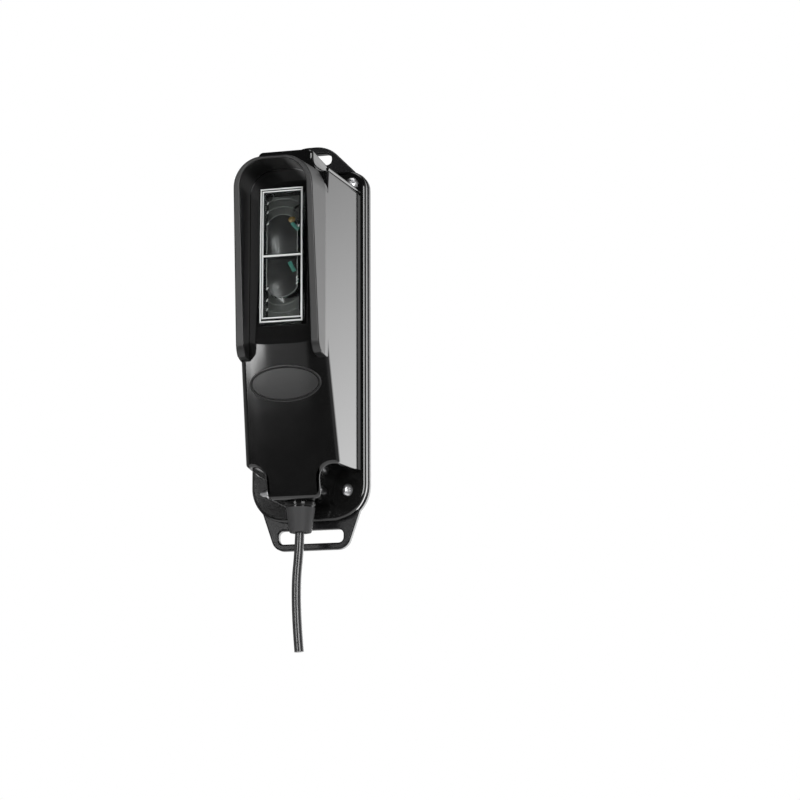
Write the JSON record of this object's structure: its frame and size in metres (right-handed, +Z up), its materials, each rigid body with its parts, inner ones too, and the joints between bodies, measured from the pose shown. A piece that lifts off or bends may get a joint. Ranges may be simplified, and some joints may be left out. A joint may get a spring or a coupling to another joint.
{
  "type": "reflective photocell",
  "caption": "Hooded reflective photocell on a slotted wall plate: lens window under a sun hood, sloping lower front, and a cable that leaves below through a gland.",
  "frame": {"origin": "middle of the wall plate's back face, on the wall", "axes": "+Z up along the plate, +Y into the wall, front facing -Y, X = 0 the plane of symmetry"},
  "size_m": [0.0464, 0.0567, 0.2008],
  "materials": {
    "housing_black": "semi-gloss moulded black",
    "plate_black": "satin moulded black",
    "seal_rubber": "dull black rubber",
    "gland_rubber": "smooth dark grey rubber",
    "cable_jacket": "glossy black cable jacket",
    "window_clear": "clear moulded window",
    "lens_clear": "polished clear lens",
    "carrier_black": "dull moulded black",
    "screw_steel": "bright steel",
    "board_green": "green solder mask",
    "emitter_tint": "pale tinted resin",
    "receiver_black": "dark filter resin",
    "lamp_amber": "amber tinted resin",
    "relay_case": "dark relay case",
    "capacitor_sleeve": "shrunk blue sleeve",
    "chip_black": "moulded package",
    "connector_green": "terminal block",
    "tie_natural": "natural nylon",
    "wire_red": "red insulation",
    "wire_black": "black insulation",
    "wire_white": "white insulation",
    "wire_yellow": "yellow insulation"
  },
  "bodies": {
    "root": {"back_plate": "plate_black", "base_gasket": "seal_rubber", "housing": "housing_black", "cover_screws": "screw_steel", "lens_window": "window_clear", "window_seal": "seal_rubber", "lens_carrier": "carrier_black", "emitter_lens": "lens_clear", "receiver_lens": "lens_clear", "circuit_board": "board_green", "infrared_emitter": "emitter_tint", "photodiode_receiver": "receiver_black", "alignment_lamp": "lamp_amber", "output_relay": "relay_case", "smoothing_capacitor": "capacitor_sleeve", "controller_chip": "chip_black", "voltage_regulator": "chip_black", "wire_connector": "connector_green", "board_screws": "screw_steel", "cable_gland": "gland_rubber", "strain_tie": "tie_natural", "cable": "cable_jacket", "lead_supply_positive": "wire_red", "lead_supply_negative": "wire_black", "lead_relay_common": "wire_white", "lead_relay_contact": "wire_yellow"}
  },
  "joints": []
}
